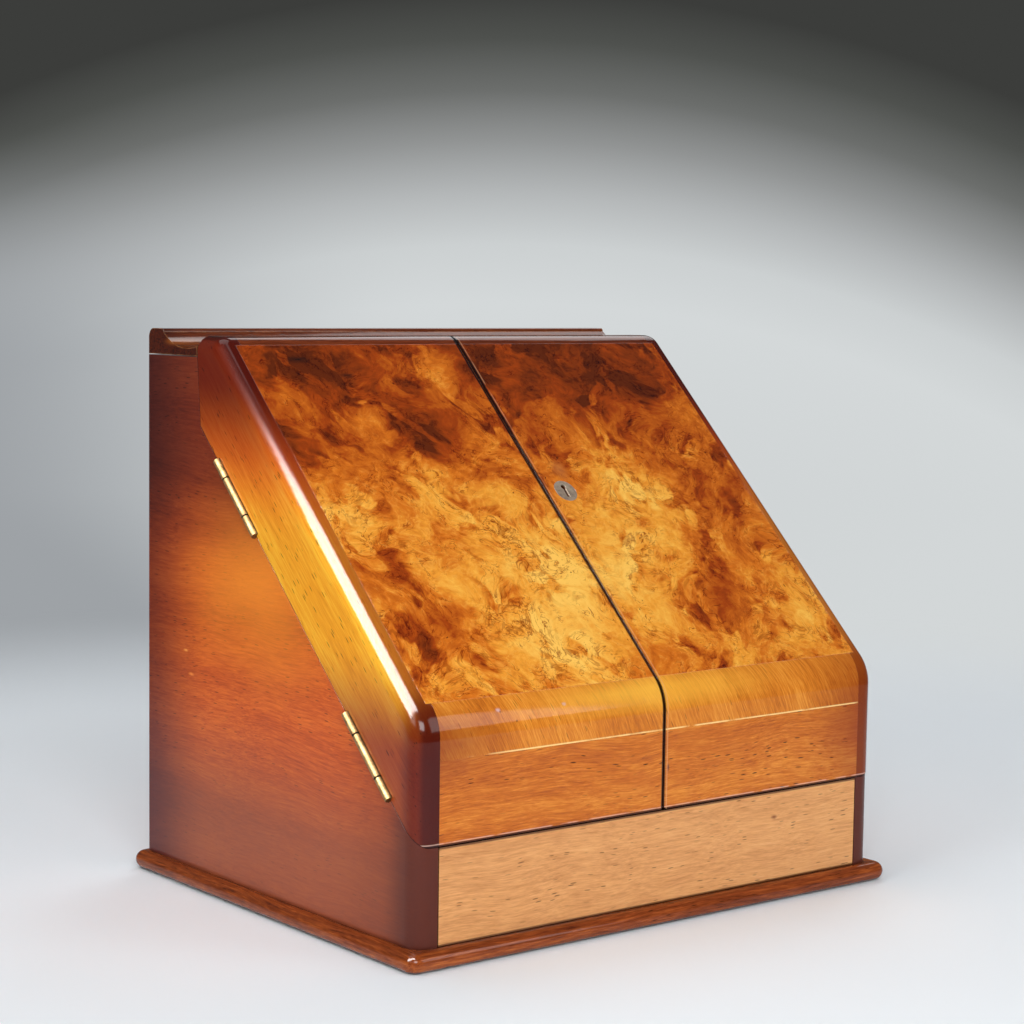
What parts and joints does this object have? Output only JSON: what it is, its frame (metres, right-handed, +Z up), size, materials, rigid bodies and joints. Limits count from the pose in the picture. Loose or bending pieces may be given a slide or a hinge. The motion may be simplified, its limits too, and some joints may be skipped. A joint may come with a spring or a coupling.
{
  "type": "writing box",
  "caption": "Sloping-front wooden writing box with burr-veneered doors, hinged lid with a pen cove, base drawer, letter rack and ink stand.",
  "frame": {"origin": "on the table, under the middle of the plinth board", "axes": "+X to the right seen from the front, +Y to the back, +Z up; the doors face -Y"},
  "size_m": [0.398, 0.324, 0.365],
  "materials": {
    "burr_walnut": "french polished burr walnut veneer",
    "cross_banding": "french polished, cross grain",
    "door_wood": "french polished walnut",
    "case_wood": "french polished mahogany",
    "drawer_front_wood": "french polished pale walnut",
    "moulding_wood": "french polished mahogany",
    "inside_wood": "waxed plain wood",
    "rack_wood": "waxed thin mahogany",
    "brass": "worn brass",
    "lock_metal": "dull brassed steel",
    "bottle_glass": "clear thick glass"
  },
  "bodies": {
    "cabinet": {"plinth": "moulding_wood", "left_side": "case_wood", "right_side": "case_wood", "back_board": "case_wood", "cabinet_floor": "inside_wood", "lid_well_board": "rack_wood", "rack_rear_board": "rack_wood", "rack_middle_board": "rack_wood", "rack_front_board": "rack_wood", "card_partition": "rack_wood", "ink_stand": "rack_wood", "drawer_stops": "inside_wood", "left_door_hinge_fixed_leaves": "brass", "right_door_hinge_fixed_leaves": "brass", "lid_hinge_fixed_leaves": "brass", "left_door_hinge_pins": "brass", "right_door_hinge_pins": "brass", "lid_hinge_pins": "brass"},
    "left_door": {"left_door_side": "case_wood", "left_nose_rail": "cross_banding", "left_lower_rail": "door_wood", "left_top_rail": "cross_banding", "left_slope_board": "door_wood", "left_burr_veneer": "burr_walnut", "left_door_hinge_moving_leaves": "brass", "strike_plate": "lock_metal"},
    "right_door": {"right_door_side": "case_wood", "right_nose_rail": "cross_banding", "right_lower_rail": "door_wood", "right_top_rail": "cross_banding", "right_slope_board": "door_wood", "right_burr_veneer": "burr_walnut", "right_door_hinge_moving_leaves": "brass", "lock_case": "lock_metal", "keyhole_plate": "lock_metal"},
    "lock_bolt": {"lock_bolt": "lock_metal"},
    "lid": {"lid_board": "moulding_wood", "lid_hinge_moving_leaves": "brass"},
    "drawer": {"drawer_front": "drawer_front_wood", "drawer_left_side": "inside_wood", "drawer_right_side": "inside_wood", "drawer_back": "inside_wood", "drawer_bottom": "inside_wood"},
    "left_ink_bottle": {"left_ink_bottle": "bottle_glass", "left_ink_collar": "brass"},
    "left_ink_cap": {"left_ink_cap": "brass"},
    "right_ink_bottle": {"right_ink_bottle": "bottle_glass", "right_ink_collar": "brass"},
    "right_ink_cap": {"right_ink_cap": "brass"}
  },
  "joints": [
    {"name": "left_door_hinge", "type": "hinge", "parent": "cabinet", "child": "left_door", "pos_m": [-0.191, -0.03084, 0.18947], "axis": [0, -0.7193, -0.6947], "range_deg": [0, 170]},
    {"name": "right_door_hinge", "type": "hinge", "parent": "cabinet", "child": "right_door", "pos_m": [0.191, -0.03084, 0.18947], "axis": [0, 0.7193, 0.6947], "range_deg": [0, 170]},
    {"name": "lock_bolt_throw", "type": "slide", "parent": "right_door", "child": "lock_bolt", "axis": [-1, 0, 0], "range_m": [0, 0.005]},
    {"name": "lid_hinge", "type": "hinge", "parent": "cabinet", "child": "lid", "pos_m": [0, 0.154, 0.34781], "axis": [-1, 0, 0], "range_deg": [0, 100]},
    {"name": "drawer_slide", "type": "slide", "parent": "cabinet", "child": "drawer", "axis": [0, -1, 0], "range_m": [0, 0.22]},
    {"name": "left_ink_bottle_lift", "type": "slide", "parent": "cabinet", "child": "left_ink_bottle", "axis": [0, 0, 1], "range_m": [0, 0.02]},
    {"name": "left_ink_cap_hinge", "type": "hinge", "parent": "left_ink_bottle", "child": "left_ink_cap", "pos_m": [-0.144, -0.0751, 0.11235], "axis": [-1, 0, 0], "range_deg": [0, 110]},
    {"name": "right_ink_bottle_lift", "type": "slide", "parent": "cabinet", "child": "right_ink_bottle", "axis": [0, 0, 1], "range_m": [0, 0.02]},
    {"name": "right_ink_cap_hinge", "type": "hinge", "parent": "right_ink_bottle", "child": "right_ink_cap", "pos_m": [0.144, -0.0751, 0.11235], "axis": [-1, 0, 0], "range_deg": [0, 110]}
  ]
}
